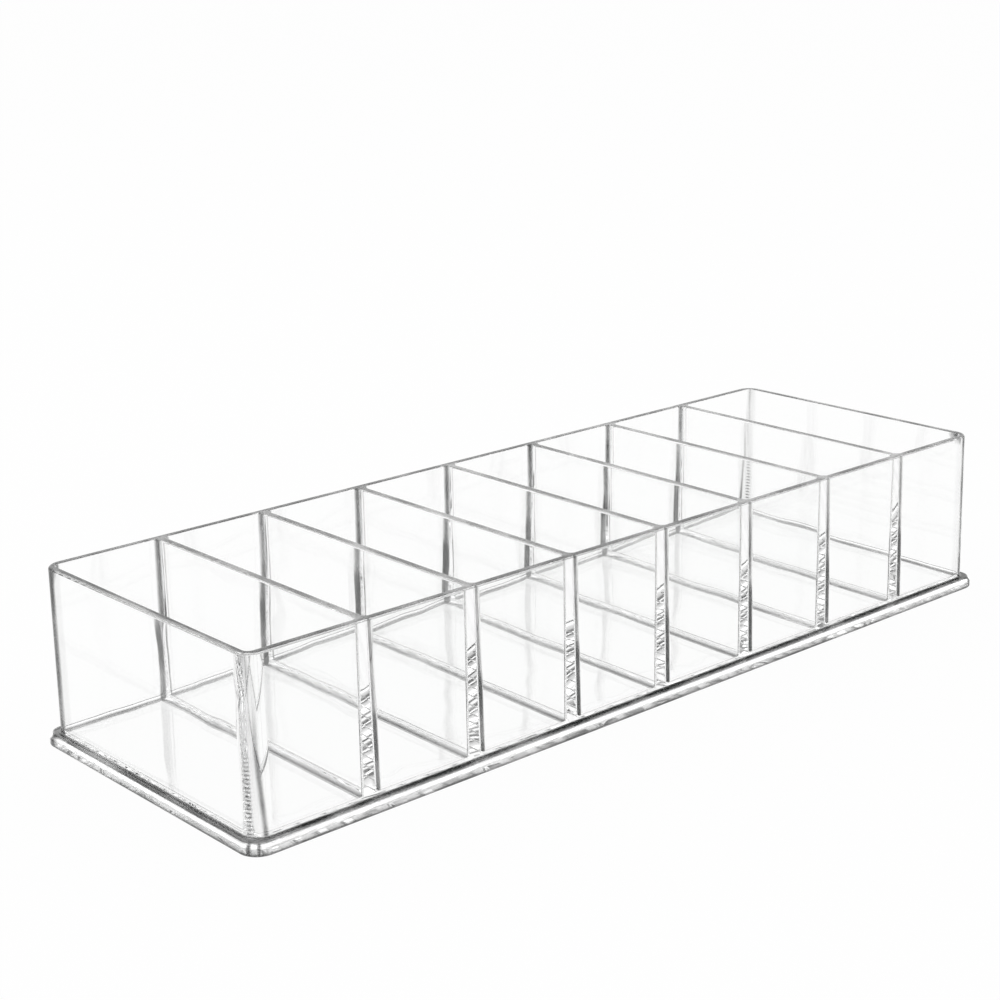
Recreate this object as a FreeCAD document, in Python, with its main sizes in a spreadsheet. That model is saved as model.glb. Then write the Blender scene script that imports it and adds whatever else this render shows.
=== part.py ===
"""Clear vanity organizer: a long open-topped tray with eight equal upright compartments.

The tray is nine bonded pieces. The base tray is a plate whose edge stands out all round as a thin
flange. The wall frame is one ring with rounded corners. Seven dividers cross it, and each has a
root along its foot and both ends, which seats in grooves of the base tray and the wall frame.

Origin: the middle of the underside. +X runs along the row, +Y to the back, +Z up. Millimetres.
"""

import FreeCAD, Part
import math
import os
import Sketcher

SIZES = (
    ("base_length", 235.0, "base tray along the row, over the flange"),
    ("base_width", 82.6, "base tray from front to back, over the flange"),
    ("base_corner_radius", 4.8, "base tray, corners in plan"),
    ("floor_thickness", 2.8, "base tray, underside to compartment floor"),
    ("flange_reach", 2.0, "how far the base tray stands out past the foot of the walls"),
    ("flange_top_round", 1.2, "round on the flange's upper edge"),
    ("flange_underside_round", 0.5, "round on the flange's lower edge"),
    ("tray_height", 41.8, "underside to rim"),
    ("rim_thickness", 2.0, "outer walls at the rim"),
    ("outer_lean", 0.35, "how far the walls' outer face leans in from foot to rim"),
    ("inner_corner_radius", 1.3, "vertical corners inside the wall frame"),
    ("foot_corner_radius", 4.5, "vertical corners outside the wall frame, at the foot"),
    ("rim_round", 0.5, "round on every upper edge"),
    ("compartments", 8, "how many compartments stand in the row"),
    ("divider_rim_thickness", 2.0, "divider at its upper edge"),
    ("divider_foot_thickness", 2.9, "divider at the compartment floor"),
    ("end_flare_radius", 1.2, "hollow round where a divider meets a wall"),
    ("foot_flare_radius", 0.9, "hollow round where dividers and walls meet the floor"),
    ("outer_foot_flare_radius", 0.6, "hollow round where the walls meet the flange"),
    ("root_land", 0.2, "flat strip of a divider's root past its flare"),
    ("wall_root_land", 0.05, "flat strip of the walls' root past its flares"),
    ("floor_seat_depth", 0.7, "depth of the grooves in the base tray"),
    ("wall_seat_depth", 0.6, "depth of the grooves in the wall frame"),
    ("seat_gap", 0.05, "clearance beside each root in its groove"),
)

WALL_FOOT_LENGTH = "(Sizes.base_length - 2 * Sizes.flange_reach)"
WALL_FOOT_WIDTH = "(Sizes.base_width - 2 * Sizes.flange_reach)"
INNER_LENGTH = f"({WALL_FOOT_LENGTH} - 2 * Sizes.outer_lean - 2 * Sizes.rim_thickness)"
INNER_WIDTH = f"({WALL_FOOT_WIDTH} - 2 * Sizes.outer_lean - 2 * Sizes.rim_thickness)"
SEAT_LEVEL = "(Sizes.floor_thickness - Sizes.floor_seat_depth)"
OUTER_LEDGE = "(Sizes.outer_foot_flare_radius + Sizes.wall_root_land)"
INNER_LEDGE = "(Sizes.foot_flare_radius + Sizes.wall_root_land)"
PITCH = f"(({INNER_LENGTH} + Sizes.divider_rim_thickness) / Sizes.compartments)"
FIRST_DIVIDER = f"({PITCH} - ({INNER_LENGTH} + Sizes.divider_rim_thickness) / 2)"
ROOT_WIDTH = "(Sizes.divider_foot_thickness + 2 * Sizes.end_flare_radius + 2 * Sizes.root_land)"
ROOT_LENGTH = f"({INNER_WIDTH} + 2 * Sizes.wall_seat_depth)"

SAME_PLACE = 1e-4  # two heights closer than this are the same one

document = FreeCAD.newDocument("vanity_organizer")
sheet = document.addObject("Spreadsheet::Sheet", "Sizes")


def fill_sheet():
    """Write the driving dimensions into the sheet, one row each."""
    for row, (alias, value, meaning) in enumerate(SIZES, start=1):
        sheet.set(f"A{row}", meaning)
        sheet.set(f"B{row}", str(value))
        sheet.setAlias(f"B{row}", alias)
    document.recompute()


def size(expression):
    """The present value of an expression over the sheet's sizes."""
    value = sheet.evalExpression(expression)
    return float(getattr(value, "Value", value))


def negative(expression):
    return f"-({expression})"


def rounded_rectangle(length, width, radius):
    """Outline centred on the origin, as corner points and the centre of each arc."""
    far_x, far_y = f"{length} / 2", f"{width} / 2"
    near_x, near_y = f"({far_x} - {radius})", f"({far_y} - {radius})"
    points = []
    arc_centres = {}
    for sign_x, sign_y in ((1, -1), (1, 1), (-1, 1), (-1, -1)):
        x_far, x_near = (far_x, near_x) if sign_x > 0 else (negative(far_x), negative(near_x))
        y_far, y_near = (far_y, near_y) if sign_y > 0 else (negative(far_y), negative(near_y))
        corner = [(x_near, y_far), (x_far, y_near)]
        if sign_x == sign_y:
            corner.reverse()
        arc_centres[len(points)] = (x_near, y_near)
        points += corner
    return points, arc_centres


def walls_outside(spread):
    """Outside of the walls at their foot, spread out all round."""
    return rounded_rectangle(f"({WALL_FOOT_LENGTH} + 2 * {spread})",
                             f"({WALL_FOOT_WIDTH} + 2 * {spread})",
                             f"(Sizes.foot_corner_radius + {spread})")


def walls_inside(inset):
    """Inside of the walls, drawn in all round."""
    return rounded_rectangle(f"({INNER_LENGTH} - 2 * {inset})", f"({INNER_WIDTH} - 2 * {inset})",
                             f"(Sizes.inner_corner_radius - {inset})")


def rectangle(length, width):
    """Sharp-cornered outline centred on the origin."""
    x, y = f"{length} / 2", f"{width} / 2"
    return [(negative(x), negative(y)), (x, negative(y)), (x, y), (negative(x), y)], {}


def divider_outline(thickness):
    """Plan of a divider: a web that flares at both ends into a root as wide as the foot's."""
    web = f"{thickness} / 2"
    flare = f"({web} + Sizes.end_flare_radius)"
    root = f"{ROOT_WIDTH} / 2"
    wall = f"{INNER_WIDTH} / 2"
    web_end = f"({wall} - Sizes.end_flare_radius)"
    seat = f"{ROOT_LENGTH} / 2"
    half = [(web, web_end), (flare, wall), (root, wall), (root, seat)]
    points = [(x, negative(y)) for x, y in reversed(half)] + half
    arc_centres = {2: (flare, negative(web_end)), 4: (flare, web_end)}
    half_count = len(points)
    points += [(negative(x), negative(y)) for x, y in points]
    for start, (x, y) in list(arc_centres.items()):
        arc_centres[start + half_count] = (negative(x), negative(y))
    return points, arc_centres


def plane_of(body, role):
    return next(feature for feature in body.Origin.OriginFeatures if feature.Role == role)


def draw(body, name, outline, level):
    """Sketch a closed outline in the body's XY plane, lifted to the given level."""
    points, arc_centres = outline
    sketch = body.newObject("Sketcher::SketchObject", name)
    sketch.AttachmentSupport = [(plane_of(body, "XY_Plane"), "")]
    sketch.MapMode = "FlatFace"
    sketch.setExpression("AttachmentOffset.Base.z", level)
    spots = [FreeCAD.Vector(size(x), size(y)) for x, y in points]
    ends = []
    for index, start in enumerate(spots):
        finish = spots[(index + 1) % len(spots)]
        if index in arc_centres:
            ends.append(draw_arc(sketch, start, finish, arc_centres[index]))
        else:
            edge = sketch.addGeometry(Part.LineSegment(start, finish))
            ends.append(((edge, 1), (edge, 2)))
    for index, (x, y) in enumerate(points):
        start = ends[index][0]
        sketch.addConstraint(Sketcher.Constraint("Coincident", *ends[index - 1][1], *start))
        pin(sketch, "DistanceX", f"across_{index}", start, spots[index].x, x)
        pin(sketch, "DistanceY", f"along_{index}", start, spots[index].y, y)
    for index in arc_centres:
        hold_radius(sketch, index, ends[index], points, arc_centres[index])
    return sketch


def draw_arc(sketch, start, finish, centre_expressions):
    """Add the short arc from start to finish and give its two ends in that order."""
    centre = FreeCAD.Vector(*(size(expression) for expression in centre_expressions))
    to_start, to_finish = start - centre, finish - centre
    turns_left = to_start.cross(to_finish).z > 0
    first, last = (to_start, to_finish) if turns_left else (to_finish, to_start)
    angles = [math.atan2(arm.y, arm.x) for arm in (first, last)]
    if angles[1] < angles[0]:
        angles[1] += 2 * math.pi
    circle = Part.Circle(centre, FreeCAD.Vector(0, 0, 1), to_start.Length)
    edge = sketch.addGeometry(Part.ArcOfCircle(circle, *angles))
    return ((edge, 1), (edge, 2)) if turns_left else ((edge, 2), (edge, 1))


def pin(sketch, kind, name, end, value, expression):
    """Bind one coordinate of a sketch point, measured from the sketch's origin."""
    row = sketch.addConstraint(Sketcher.Constraint(kind, -1, 1, *end, value))
    sketch.renameConstraint(row, name)
    sketch.setExpression(f"Constraints.{name}", expression)


def hold_radius(sketch, index, ends, points, centre):
    """Bind an arc's radius to the distance from its centre to its start, along X or Y."""
    edge = ends[0][0]
    start_x, start_y = points[index]
    reach_x, reach_y = f"abs({start_x} - {centre[0]})", f"abs({start_y} - {centre[1]})"
    reach = f"max({reach_x}; {reach_y})"
    row = sketch.addConstraint(Sketcher.Constraint("Radius", edge, size(reach)))
    sketch.renameConstraint(row, f"radius_{index}")
    sketch.setExpression(f"Constraints.radius_{index}", reach)


def pad(body, name, sketch, length):
    feature = body.newObject("PartDesign::Pad", name)
    feature.Profile = sketch
    feature.setExpression("Length", length)
    document.recompute()
    return feature


def pocket(body, name, sketch, depth):
    """Cut downwards from the sketch, and stop if nothing was cut."""
    before = body.Shape.Volume
    feature = body.newObject("PartDesign::Pocket", name)
    feature.Profile = sketch
    feature.setExpression("Length", depth)
    document.recompute()
    if body.Shape.Volume >= before:
        raise RuntimeError(f"{name} cuts nothing from {body.Label}")
    return feature


def level_edges(feature, level, accept):
    """Names of the level edges at a height whose middle passes the given test."""
    names = []
    height = size(level)
    for index, edge in enumerate(feature.Shape.Edges, start=1):
        box = edge.BoundBox
        flat = abs(box.ZMin - height) < SAME_PLACE and abs(box.ZMax - height) < SAME_PLACE
        if flat and accept(edge):
            names.append(f"Edge{index}")
    return names


def has_side(feature, edge):
    """Whether a face rises from a level edge."""
    faces = feature.Shape.ancestorsOfType(edge, Part.Face)
    return any(face.BoundBox.ZMax > edge.BoundBox.ZMax + SAME_PLACE for face in faces)


def fillet(body, name, feature, edges, radius):
    rounded = body.newObject("PartDesign::Fillet", name)
    rounded.Base = (feature, edges)
    rounded.setExpression("Radius", radius)
    document.recompute()
    return rounded


def new_body(name):
    body = document.addObject("PartDesign::Body", name)
    body.Label = name
    return body


def divider_seats(body, level, depth):
    """Cut the grooves for all divider roots, each as wide as the root and its clearance."""
    width = f"({ROOT_WIDTH} + 2 * Sizes.seat_gap)"
    length = f"({ROOT_LENGTH} + 2 * Sizes.seat_gap)"
    plan = draw(body, "divider_seat_plan", rectangle(width, length), level)
    plan.setExpression("AttachmentOffset.Base.x", FIRST_DIVIDER)
    seat = pocket(body, "divider_seat", plan, depth)
    pattern = body.newObject("PartDesign::LinearPattern", "divider_seats")
    pattern.Originals = [seat]
    pattern.Direction = (plane_of(body, "X_Axis"), [""])
    pattern.setExpression("Length", f"{PITCH} * (Sizes.compartments - 2)")
    pattern.setExpression("Occurrences", "Sizes.compartments - 1")
    body.Tip = pattern
    document.recompute()


def base_tray():
    body = new_body("base_tray")
    plan = rounded_rectangle("Sizes.base_length", "Sizes.base_width", "Sizes.base_corner_radius")
    plate = pad(body, "plate", draw(body, "plate_plan", plan, "0"), "Sizes.floor_thickness")
    upper = level_edges(plate, "Sizes.floor_thickness", lambda edge: True)
    upper_round = fillet(body, "flange_upper_edge", plate, upper, "Sizes.flange_top_round")
    lower = level_edges(upper_round, "0", lambda edge: True)
    fillet(body, "flange_lower_edge", upper_round, lower, "Sizes.flange_underside_round")

    root_and_gap = walls_outside(f"({OUTER_LEDGE} + Sizes.seat_gap)")
    recess = draw(body, "wall_seat_plan", root_and_gap, "Sizes.floor_thickness")
    pocket(body, "wall_seat", recess, "Sizes.floor_seat_depth")
    inside_less_gap = walls_inside(f"({INNER_LEDGE} + Sizes.seat_gap)")
    floor = draw(body, "floor_plan", inside_less_gap, SEAT_LEVEL)
    pad(body, "floor", floor, "Sizes.floor_seat_depth")

    divider_seats(body, "Sizes.floor_thickness", "Sizes.floor_seat_depth")
    return body


def wall_frame():
    body = new_body("wall_frame")
    floor_level, rim_level = "Sizes.floor_thickness", "Sizes.tray_height"
    height = f"({rim_level} - {floor_level})"
    root_plan = draw(body, "root_plan", walls_outside(OUTER_LEDGE), SEAT_LEVEL)
    pad(body, "root", root_plan, "Sizes.floor_seat_depth")
    foot_plan = draw(body, "foot_plan", walls_outside("0"), floor_level)
    block = pad(body, "outer_face", foot_plan, height)
    block.setExpression("TaperAngle", f"-atan(Sizes.outer_lean / {height})")
    document.recompute()
    outer_foot = level_edges(block, floor_level, lambda edge: has_side(block, edge))
    fillet(body, "outer_foot_flare", block, outer_foot, "Sizes.outer_foot_flare_radius")

    ring = pocket(body, "inner_face", draw(body, "inside_plan", walls_inside("0"), rim_level),
                  height)

    def inside(edge):
        middle = edge.BoundBox.Center
        return (abs(middle.x) < size(f"{INNER_LENGTH} / 2") + SAME_PLACE
                and abs(middle.y) < size(f"{INNER_WIDTH} / 2") + SAME_PLACE)

    inner_foot = level_edges(ring, floor_level, inside)
    flared = fillet(body, "inner_foot_flare", ring, inner_foot, "Sizes.foot_flare_radius")
    rim = level_edges(flared, rim_level, lambda edge: True)
    fillet(body, "rim_edge", flared, rim, "Sizes.rim_round")
    opening = draw(body, "root_opening_plan", walls_inside(INNER_LEDGE), floor_level)
    pocket(body, "root_opening", opening, "Sizes.floor_seat_depth")

    divider_seats(body, rim_level, f"({rim_level} - {SEAT_LEVEL})")
    return body


def divider(number):
    body = new_body(f"divider_{number}")
    body.setExpression("Placement.Base.x", f"{FIRST_DIVIDER} + {number - 1} * {PITCH}")
    foot = draw(body, "foot_plan", divider_outline("Sizes.divider_foot_thickness"),
                "Sizes.floor_thickness")
    rim = draw(body, "rim_plan", divider_outline("Sizes.divider_rim_thickness"),
               "Sizes.tray_height")
    web = body.newObject("PartDesign::AdditiveLoft", "web")
    web.Profile = foot
    web.Sections = [rim]
    web.Ruled = True
    document.recompute()
    root_plan = draw(body, "root_plan", rectangle(ROOT_WIDTH, ROOT_LENGTH), SEAT_LEVEL)
    root = pad(body, "root", root_plan, "Sizes.floor_seat_depth")

    def beside_web(edge):
        middle = edge.BoundBox.Center
        long_enough = edge.Length > size(INNER_WIDTH) / 2
        return long_enough and abs(middle.x) < size(f"{ROOT_WIDTH} / 2") - SAME_PLACE

    foot_edges = level_edges(root, "Sizes.floor_thickness", beside_web)
    flared = fillet(body, "foot_flare", root, foot_edges, "Sizes.foot_flare_radius")
    rim_edges = level_edges(flared, "Sizes.tray_height", beside_web)
    fillet(body, "upper_edge", flared, rim_edges, "Sizes.rim_round")
    return body


def check(pieces):
    """Stop if any object failed to rebuild or any piece is not one sound solid."""
    for item in document.Objects:
        if {"Invalid", "Error"} & set(item.State):
            raise RuntimeError(f"{item.Label} failed to rebuild: {item.State}")
    for piece in pieces:
        shape = piece.Shape
        if shape.isNull() or not shape.isValid() or len(shape.Solids) != 1:
            raise RuntimeError(f"{piece.Label} is not one sound solid")


def write(pieces):
    os.makedirs("parts", exist_ok=True)
    for piece in pieces:
        piece.Shape.exportStep(f"parts/{piece.Label}.step")
        box = piece.Shape.BoundBox
        low, high = (box.XMin, box.YMin, box.ZMin), (box.XMax, box.YMax, box.ZMax)
        corners = [tuple(round(value, 2) for value in corner) for corner in (low, high)]
        print(piece.Label, round(piece.Shape.Volume, 1), corners)


fill_sheet()
pieces = [base_tray(), wall_frame()]
for number in range(1, int(size("Sizes.compartments"))):
    pieces.append(divider(number))
document.recompute()
check(pieces)
write(pieces)
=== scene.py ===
"""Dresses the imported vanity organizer: nine bonded pieces of one clear moulded plastic.

Every level slice of the tray is an outer outline less eight rounded pockets. Each piece takes
its share of that slice, so that neighbours meet face to face without a gap. The faces where two
pieces are bonded are left open to light, as a solvent joint is, and the tray reads as one
moulding.
"""

import math

import bmesh
import bpy
from bpy.props import FloatProperty, FloatVectorProperty, IntProperty, PointerProperty
from bpy.types import Operator, Panel, PropertyGroup
from mathutils import Matrix, Vector
from mathutils.geometry import tessellate_polygon


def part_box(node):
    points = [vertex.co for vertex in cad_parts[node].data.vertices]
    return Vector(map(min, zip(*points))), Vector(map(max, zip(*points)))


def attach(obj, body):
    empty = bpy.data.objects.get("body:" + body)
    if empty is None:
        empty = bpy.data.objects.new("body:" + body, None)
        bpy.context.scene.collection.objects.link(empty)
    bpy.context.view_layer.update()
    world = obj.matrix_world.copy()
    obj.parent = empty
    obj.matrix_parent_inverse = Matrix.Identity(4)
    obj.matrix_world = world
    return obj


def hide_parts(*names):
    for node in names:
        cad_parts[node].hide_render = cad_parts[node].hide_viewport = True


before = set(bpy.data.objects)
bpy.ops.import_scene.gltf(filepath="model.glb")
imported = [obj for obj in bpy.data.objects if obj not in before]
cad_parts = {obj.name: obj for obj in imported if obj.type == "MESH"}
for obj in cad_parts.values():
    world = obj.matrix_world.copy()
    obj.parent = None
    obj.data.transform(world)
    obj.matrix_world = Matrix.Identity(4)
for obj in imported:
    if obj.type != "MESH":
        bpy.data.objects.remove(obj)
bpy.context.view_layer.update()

bl_info = {
    "name": "Vanity Organizer",
    "version": (1, 0, 0),
    "blender": (4, 5, 0),
    "location": "View3D > Sidebar > Organizer",
    "description": "Builds a clear eight-compartment vanity organizer and its stage",
    "category": "Add Mesh",
}

BODY = "root"
DIVIDERS = sorted(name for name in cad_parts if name.startswith("divider_"))

BASE_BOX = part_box("base_tray")
WALL_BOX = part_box("wall_frame")
DIVIDER_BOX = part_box(DIVIDERS[0])

# How the run from one outline point to the next, or from one level to the next, goes.
STRAIGHT, ROUND, JOINT = "straight", "round", "joint"
QUARTER = math.pi / 2
SMOOTH_BELOW = math.radians(30)  # faces that meet more sharply than this keep a crease
SHOULDER_POINTS = 8  # what the shoulders add to the points of an outline
SHOULDER_SHARE = 0.15  # what one shoulder step adds to the share of the way round a corner

# Painted shade lines and marks on a corner's round: (share of the way from the long side, reach).
LONG_SIDE_LINE = (0.18, 0.18)
LEANING_LINE = (0.22, 0.12)  # at the foot
LEAN = 0.35  # how much nearer the end wall that line stands at the rim
LADDER = (0.7, 0.18)
END_LINE = (0.72, 0.28)
NARROW_MARKS = ((0.38, 0.09), (0.68, 0.12))
BROAD_MARKS = ((0.2, 0.2), (1, 0.3))
BROAD_LINE_FROM, BROAD_LINE_RISE = 0.62, 0.1  # from there to the end wall

# How the painted shade lines on the corners pale, and the rungs of their painted ladder.
LINE_FADE, LEAST_LINE = 1.3, 0.3  # how fast a corner's line pales up the wall, and how far
LEAST_STEADY_LINE = 0.8  # how far the line on the front right corner does
LADDER_RISE = 0.45  # share of the walls' height that has rungs
RINGS_PER_RUNG = 3  # the first is dark, the others are clear

# The painted shade line along a divider's end flare: how much broader it is near the foot, and the
# shares of the height where it begins to pale and where it has paled.
DEEP_REACH = 3
DEEP_UNTIL, PALE_FROM = 0.4, 0.5

# Where the painted shade lines across the small rounds stand: shares of the way round, from below.
RIM_LINE, RIM_LINE_END = 0.25, 0.5
INNER_LINE, INNER_LINE_END = 0.3, 0.6
OUTER_LINE_UNTIL = 0.6

# Where the flange's painted shade and painted glow change: shares of the way round its lower or
# upper edge.
UNDERSIDE_FULL = 0.3
SIDE_CLEAR, FLAT_BEGINS = 0.25, 0.55
PAINTED_GLOW_CENTRE, PAINTED_GLOW_REACH = 0.4, 0.35

# The unevenness of the painted shade: patches per metre, their detail, the part of the noise that
# is used, how much the painted shade varies, and the power that turns it into what a surface
# passes.
PATCHES, PATCH_DETAIL = 80, 2
NOISE_LOW, NOISE_HIGH = 0.35, 0.65
UNEVENNESS = 0.5
PAINTED_SHADE_POWER = 4.4
WAVES_PER_METRE, WAVE_DETAIL = 45.0, 1.0

# The stage.
LIGHT_BOUNCES = 90  # light goes to and fro this often before a clear edge lets it out
FLOOR_RADIUS, FLOOR_FACETS = 8, 96
FLOOR_DROP = 0.00002  # keeps the floor just under the part's flat underside
FLOOR_GREY = (0.8, 0.8, 0.8, 1)
FLOOR_WHITE = 0.965  # share of the plain white in what is seen of the floor; the rest has shadow
BAND_START, BAND_END = 0.05, 0.04  # how softly the dark band begins and ends
LAMP_SIZE = (0.9, 0.6)
LAMP_PLACE = (-0.5, 0.4, 1.3)
SENSOR = 36
CLIP = (0.01, 50)
CAMERA_RIGHT = (0.74934, -0.66185, -0.02125)
CAMERA_DOWN = (-0.20492, -0.20126, -0.95786)
CAMERA_AHEAD = (0.62968, 0.72212, -0.28644)


class OrganizerSizes(PropertyGroup):
    """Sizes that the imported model's boxes don't give."""

    flange_top_round: FloatProperty(
        name="Flange top round", description="Round on the flange's upper edge",
        default=0.0012, min=0.0001, unit="LENGTH", subtype="DISTANCE")
    flange_underside_round: FloatProperty(
        name="Flange underside round", description="Round on the flange's lower edge",
        default=0.0005, min=0.0001, unit="LENGTH", subtype="DISTANCE")
    flange_corner: FloatProperty(
        name="Flange corner", description="Radius of the flange's corners in plan",
        default=0.0048, min=0.001, unit="LENGTH", subtype="DISTANCE")
    flange_reach: FloatProperty(
        name="Flange reach", description="How far the flange stands out past the walls' foot",
        default=0.002, min=0.001, unit="LENGTH", subtype="DISTANCE")
    rim_thickness: FloatProperty(
        name="Rim thickness", description="Outer walls at the rim",
        default=0.002, min=0.001, unit="LENGTH", subtype="DISTANCE")
    outer_lean: FloatProperty(
        name="Outer lean", description="How far the walls' outer face leans in by the rim",
        default=0.00035, min=0, unit="LENGTH", subtype="DISTANCE")
    outer_corner: FloatProperty(
        name="Outer corner", description="Outer radius of the walls' corners at the foot",
        default=0.0045, min=0.001, unit="LENGTH", subtype="DISTANCE")
    inner_corner: FloatProperty(
        name="Inner corner", description="Inner radius of the walls' corners",
        default=0.0013, min=0.001, unit="LENGTH", subtype="DISTANCE")
    rim_round: FloatProperty(
        name="Rim round", description="Round on every upper edge",
        default=0.0005, min=0.0001, unit="LENGTH", subtype="DISTANCE")
    divider_rim: FloatProperty(
        name="Divider at rim", description="Thickness of a divider at its upper edge",
        default=0.002, min=0.001, unit="LENGTH", subtype="DISTANCE")
    divider_foot: FloatProperty(
        name="Divider at foot", description="Thickness of a divider at the compartment floor",
        default=0.0029, min=0.001, unit="LENGTH", subtype="DISTANCE")
    end_flare: FloatProperty(
        name="End flare", description="Hollow round where a divider meets a wall",
        default=0.0012, min=0.0005, unit="LENGTH", subtype="DISTANCE")
    foot_flare: FloatProperty(
        name="Foot flare", description="Hollow round where walls and dividers meet the floor",
        default=0.0009, min=0.0001, unit="LENGTH", subtype="DISTANCE")
    outer_foot_flare: FloatProperty(
        name="Outer foot flare", description="Hollow round where the walls meet the flange",
        default=0.0006, min=0.0001, unit="LENGTH", subtype="DISTANCE")
    # The next four sizes place painted shade lines; they only add rings or points on flat faces.
    underside_fade: FloatProperty(
        name="Underside fade", description="How far the flange's lowest line fades out upwards",
        default=0.0004, min=0.0001, unit="LENGTH", subtype="DISTANCE")
    line_shoulder: FloatProperty(
        name="Line shoulder", description="How far a corner's line fades out along the end wall",
        default=0.0014, min=0.0001, unit="LENGTH", subtype="DISTANCE")
    spot_fade: FloatProperty(
        name="Spot fade", description="How far the rim's dark spots run down the corners",
        default=0.003, min=0.0001, unit="LENGTH", subtype="DISTANCE")
    rung_pitch: FloatProperty(
        name="Rung pitch", description="From one rung of a corner's ladder to the next",
        default=0.0009, min=0.0002, unit="LENGTH", subtype="DISTANCE")
    corner_steps: IntProperty(
        name="Corner steps", description="Facets in a quarter turn of a corner", default=24, min=4)
    edge_steps: IntProperty(
        name="Edge steps", description="Facets in a quarter turn of a rounded edge",
        default=8, min=3)


# Each setting made here is the darkness of one painted shade line.
def painted_shade_setting(name, description, default):
    return FloatProperty(name=name, description=description, default=default, min=0, max=1,
                         subtype="FACTOR")


class PaintedEdgeShades(PropertyGroup):
    """How dark each rounded edge is painted (0 to 1): painted shade for lines that trapped light
    draws.
    """

    rim_flat: painted_shade_setting("Rim", "Flat on top of the walls, at its inner edge", 1.0)
    rim_flat_outside: painted_shade_setting("Rim, outside", "Flat on top of the walls, at its outer edge", 0.9)
    rim_end: painted_shade_setting("Rim, ends", "Share of that tone along the end walls", 0.45)
    rim_foot: painted_shade_setting("Rim, foot", "Where the walls' faces turn over into the rim", 0.3)
    rim_corner: painted_shade_setting("Rim, corners", "Dark spots on two of the rim's corners", 0.9)
    divider_flat: painted_shade_setting("Divider rim", "Narrow flat on top of a divider", 0.6)
    outer_foot: painted_shade_setting("Outer foot", "Hollow round between the walls and the flange", 1.0)
    outer_foot_end: painted_shade_setting("Outer foot, ends", "Share of that tone along the end walls", 0.6)
    inner_foot: painted_shade_setting("Inner foot", "Hollow rounds round the compartment floors", 0.5)
    flange_flat: painted_shade_setting(
        "Flange, flat", "Narrow flat between the flange's round and the walls", 0.8)
    flange_side: painted_shade_setting("Flange, side", "Upright side of the flange", 0.35)
    flange_underside: painted_shade_setting("Flange, below", "Lower round of the flange", 0.85)
    flange_marks: painted_shade_setting(
        "Flange corners", "Short marks where the flange turns its corners", 0.9)
    corner_long_side: painted_shade_setting(
        "Corner, long side", "Corner line towards a long side, at the foot", 0.9)
    corner_end: painted_shade_setting("Corner, end", "Corner line towards an end wall", 0.1)
    corner_ladder: painted_shade_setting("Corner, ladder", "Rungs on a corner, towards an end wall", 1.0)
    corner_side: painted_shade_setting("Corner, side", "Broad line on the end wall's side of one corner", 1.0)
    inner_corner: painted_shade_setting("Inner corner", "Corners inside the wall frame", 0.06)
    end_flare: painted_shade_setting("End flare", "Hollow rounds where dividers meet the long walls", 0.6)
    end_flare_foot: painted_shade_setting("End flare, foot", "The same rounds at the compartment floor", 0.95)


class PlasticFinishAndPaintedLight(PropertyGroup):
    """Colours and finish of the clear plastic, with its painted shade and painted glow."""

    tint: FloatVectorProperty(
        name="Tint", description="Colour that each surface gives to the light it passes",
        subtype="COLOR", size=3, min=0, max=1, default=(0.998, 0.9995, 0.9985))
    # Painted shade: the dark colour that the painted lines on the rounded edges go to, not a tint
    # of the plastic.
    painted_shade_colour: FloatVectorProperty(
        name="Painted shade colour", description="What light takes on in the deepest rounded edges",
        subtype="COLOR", size=3, min=0, max=1, default=(0.001, 0.0012, 0.0011))
    edge_haze: FloatProperty(
        name="Edge haze", description="Roughness of the flange's edge",
        default=0.06, min=0, max=1, subtype="FACTOR")
    # Painted glow: emission on the flange's edge, a painted highlight; the plastic is no lamp.
    painted_edge_glow: FloatProperty(
        name="Painted edge glow", description="Light that the plate gathers and lets out at its edge",
        default=0.7, min=0, max=1, subtype="FACTOR")
    # Painted glow on the flange's upright side.
    painted_side_glow: FloatProperty(
        name="Painted side glow", description="Share of that glow on the flange's upright side",
        default=0.08, min=0, max=1, subtype="FACTOR")
    wave_height: FloatProperty(
        name="Wave height", description="Height of the flow waves on the faces",
        default=0.0002, min=0, unit="LENGTH", subtype="DISTANCE")
    index: FloatProperty(
        name="Refractive index", description="How strongly the plastic bends light",
        default=1.56, min=1, max=2)
    shadow: FloatVectorProperty(
        name="Shadow tint", description="What each surface leaves of a lamp's light",
        subtype="COLOR", size=3, min=0, max=1, default=(0.98, 0.985, 0.982))


class StageLook(PropertyGroup):
    """Floor, light and camera."""

    daylight: FloatProperty(
        name="Daylight", description="Strength of the even light from all round",
        default=0.8, min=0)
    lamp_watts: FloatProperty(
        name="Lamp power", description="Power of the soft lamp overhead",
        default=6, min=0, unit="POWER")
    pale: FloatVectorProperty(
        name="Backdrop colour", description="Colour of the floor and of all that is low around it",
        subtype="COLOR", size=3, min=0, max=1, default=(1.0, 1.0, 1.0))
    dark: FloatVectorProperty(
        name="Dark colour", description="Colour of the dark band above the backdrop",
        subtype="COLOR", size=3, min=0, max=1, default=(0.25, 0.25, 0.25))
    dark_from: FloatProperty(
        name="Dark from", description="Height above the horizon where the dark band begins",
        default=math.radians(30), subtype="ANGLE", unit="ROTATION")
    dark_to: FloatProperty(
        name="Dark to", description="Height above the horizon where the bright ceiling begins",
        default=math.radians(60), subtype="ANGLE", unit="ROTATION")
    camera_place: FloatVectorProperty(
        name="Camera place", description="Where the camera stands",
        subtype="TRANSLATION", size=3, unit="LENGTH", default=(-0.31649, -0.34519, 0.18043))
    lens: FloatProperty(
        name="Lens", description="Focal length in millimetres on a 36 mm sensor",
        default=73.06, min=1, unit="CAMERA")


def tray():
    return bpy.context.scene.organizer_sizes


def painted_edge_shades():
    return bpy.context.scene.organizer_tones


def plastic_finish_and_painted_light():
    return bpy.context.scene.organizer_plastic


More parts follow.
